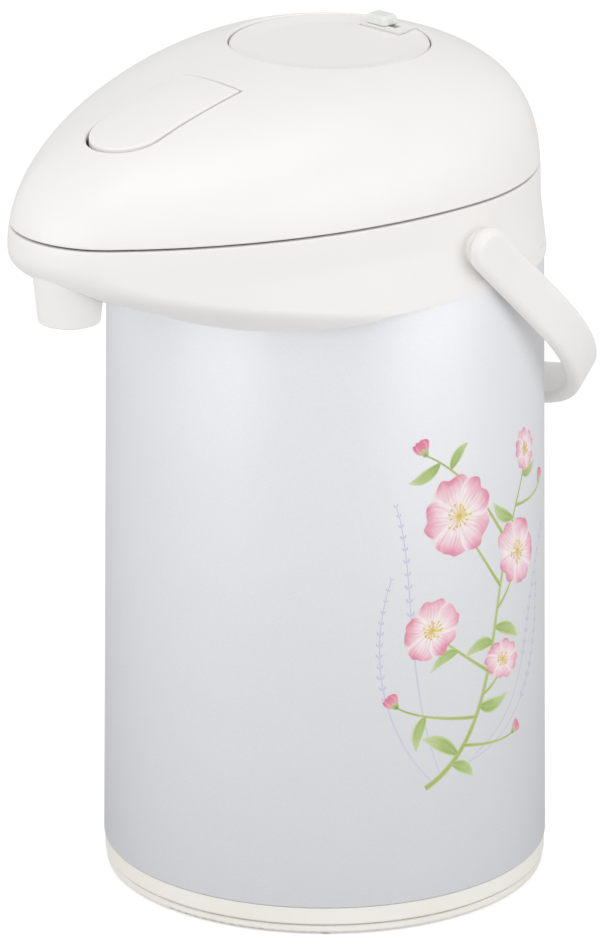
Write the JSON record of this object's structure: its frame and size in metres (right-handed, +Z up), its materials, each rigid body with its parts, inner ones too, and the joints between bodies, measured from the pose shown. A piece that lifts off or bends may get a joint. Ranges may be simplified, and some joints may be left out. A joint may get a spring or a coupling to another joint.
{
  "type": "airpot",
  "caption": "Upright vacuum pump pot for hot drinks: tapered metal body on a turntable, nosed hinged lid with push top, spout underneath and a bail handle.",
  "frame": {"origin": "on the body's axis, at the floor under the rubber feet", "axes": "+Z up, -Y forward, the way the spout points, +X to the right when looking along +Y"},
  "size_m": [0.176, 0.2429, 0.3229],
  "materials": {
    "shell_paint": "pearl enamel on steel sheet with a printed flower band",
    "white_plastic": "glossy warm white",
    "base_plastic": "satin cream white",
    "inner_plastic": "matt white",
    "pipe_plastic": "milky translucent",
    "lock_plastic": "pale grey green, slightly translucent",
    "bottle_glass": "silvered glass",
    "steel": "plain bright steel",
    "seal_rubber": "pale grey silicone",
    "dark_rubber": "matt black"
  },
  "bodies": {
    "pot": {"outer_shell": "shell_paint", "bottom_cover": "base_plastic", "bottle_cushion": "dark_rubber", "bottle_outer_wall": "bottle_glass", "bottle_inner_wall": "bottle_glass", "neck_gasket": "seal_rubber", "collar": "white_plastic", "mouth_ring": "inner_plastic", "mouth_ring_screws": "steel", "dip_tube": "pipe_plastic", "delivery_pipe": "pipe_plastic", "pipe_seal": "seal_rubber", "tip_valve_housing": "inner_plastic", "outlet_pipe": "pipe_plastic", "spout_nozzle": "white_plastic", "hinge_pin": "steel", "swivel_retainer": "inner_plastic", "retainer_screw": "steel"},
    "turntable": {"turntable": "base_plastic", "rubber_feet": "dark_rubber"},
    "valve_ball": {"tip_valve_ball": "steel"},
    "lid": {"lid_cover": "white_plastic", "lid_inner_plate": "inner_plastic", "lid_screws": "steel", "lid_gasket": "seal_rubber", "bellows_seat": "inner_plastic", "outlet_valve_flap": "seal_rubber", "bellows": "seal_rubber", "return_spring": "steel", "lever_pin": "steel", "lever_spring": "steel"},
    "pump_button": {"push_button": "white_plastic", "plunger_plate": "inner_plastic", "intake_valve": "seal_rubber", "plunger_screw": "steel"},
    "lock": {"lock_tab": "lock_plastic", "lock_slide_plate": "inner_plastic"},
    "lever": {"release_lever": "white_plastic", "latch_hook": "inner_plastic"},
    "handle": {"handle_bail": "white_plastic", "handle_washers": "inner_plastic", "handle_screws": "steel"}
  },
  "joints": [
    {"name": "base_swivel", "type": "hinge", "parent": "pot", "child": "turntable", "pos_m": [0, 0, 0], "axis": [0, 0, 1], "continuous": true},
    {"name": "lid_hinge", "type": "hinge", "parent": "pot", "child": "lid", "pos_m": [0, 0.0805, 0.2776], "axis": [-1, 0, 0], "range_deg": [0, 95]},
    {"name": "push_slide", "type": "slide", "parent": "lid", "child": "pump_button", "axis": [0, 0, -1], "range_m": [0, 0.02], "stiffness_N_per_m": 400, "springref_m": -0.01, "deforming": ["bellows", "return_spring"]},
    {"name": "lock_slide", "type": "slide", "parent": "lid", "child": "lock", "axis": [1, 0, 0], "range_m": [0, 0.006]},
    {"name": "lever_hinge", "type": "hinge", "parent": "lid", "child": "lever", "pos_m": [0, -0.064, 0.30854], "axis": [-1, 0, 0], "range_deg": [0, 6], "stiffness_Nm_per_rad": 0.2, "springref_deg": -5.73, "deforming": ["lever_spring"]},
    {"name": "handle_hinge", "type": "hinge", "parent": "pot", "child": "handle", "pos_m": [0, -0.0018, 0.2586], "axis": [1, 0, 0], "range_deg": [0, 150]},
    {"name": "ball_slide", "type": "slide", "parent": "pot", "child": "valve_ball", "axis": [0, 0, 1], "range_m": [0, 0.005]}
  ]
}
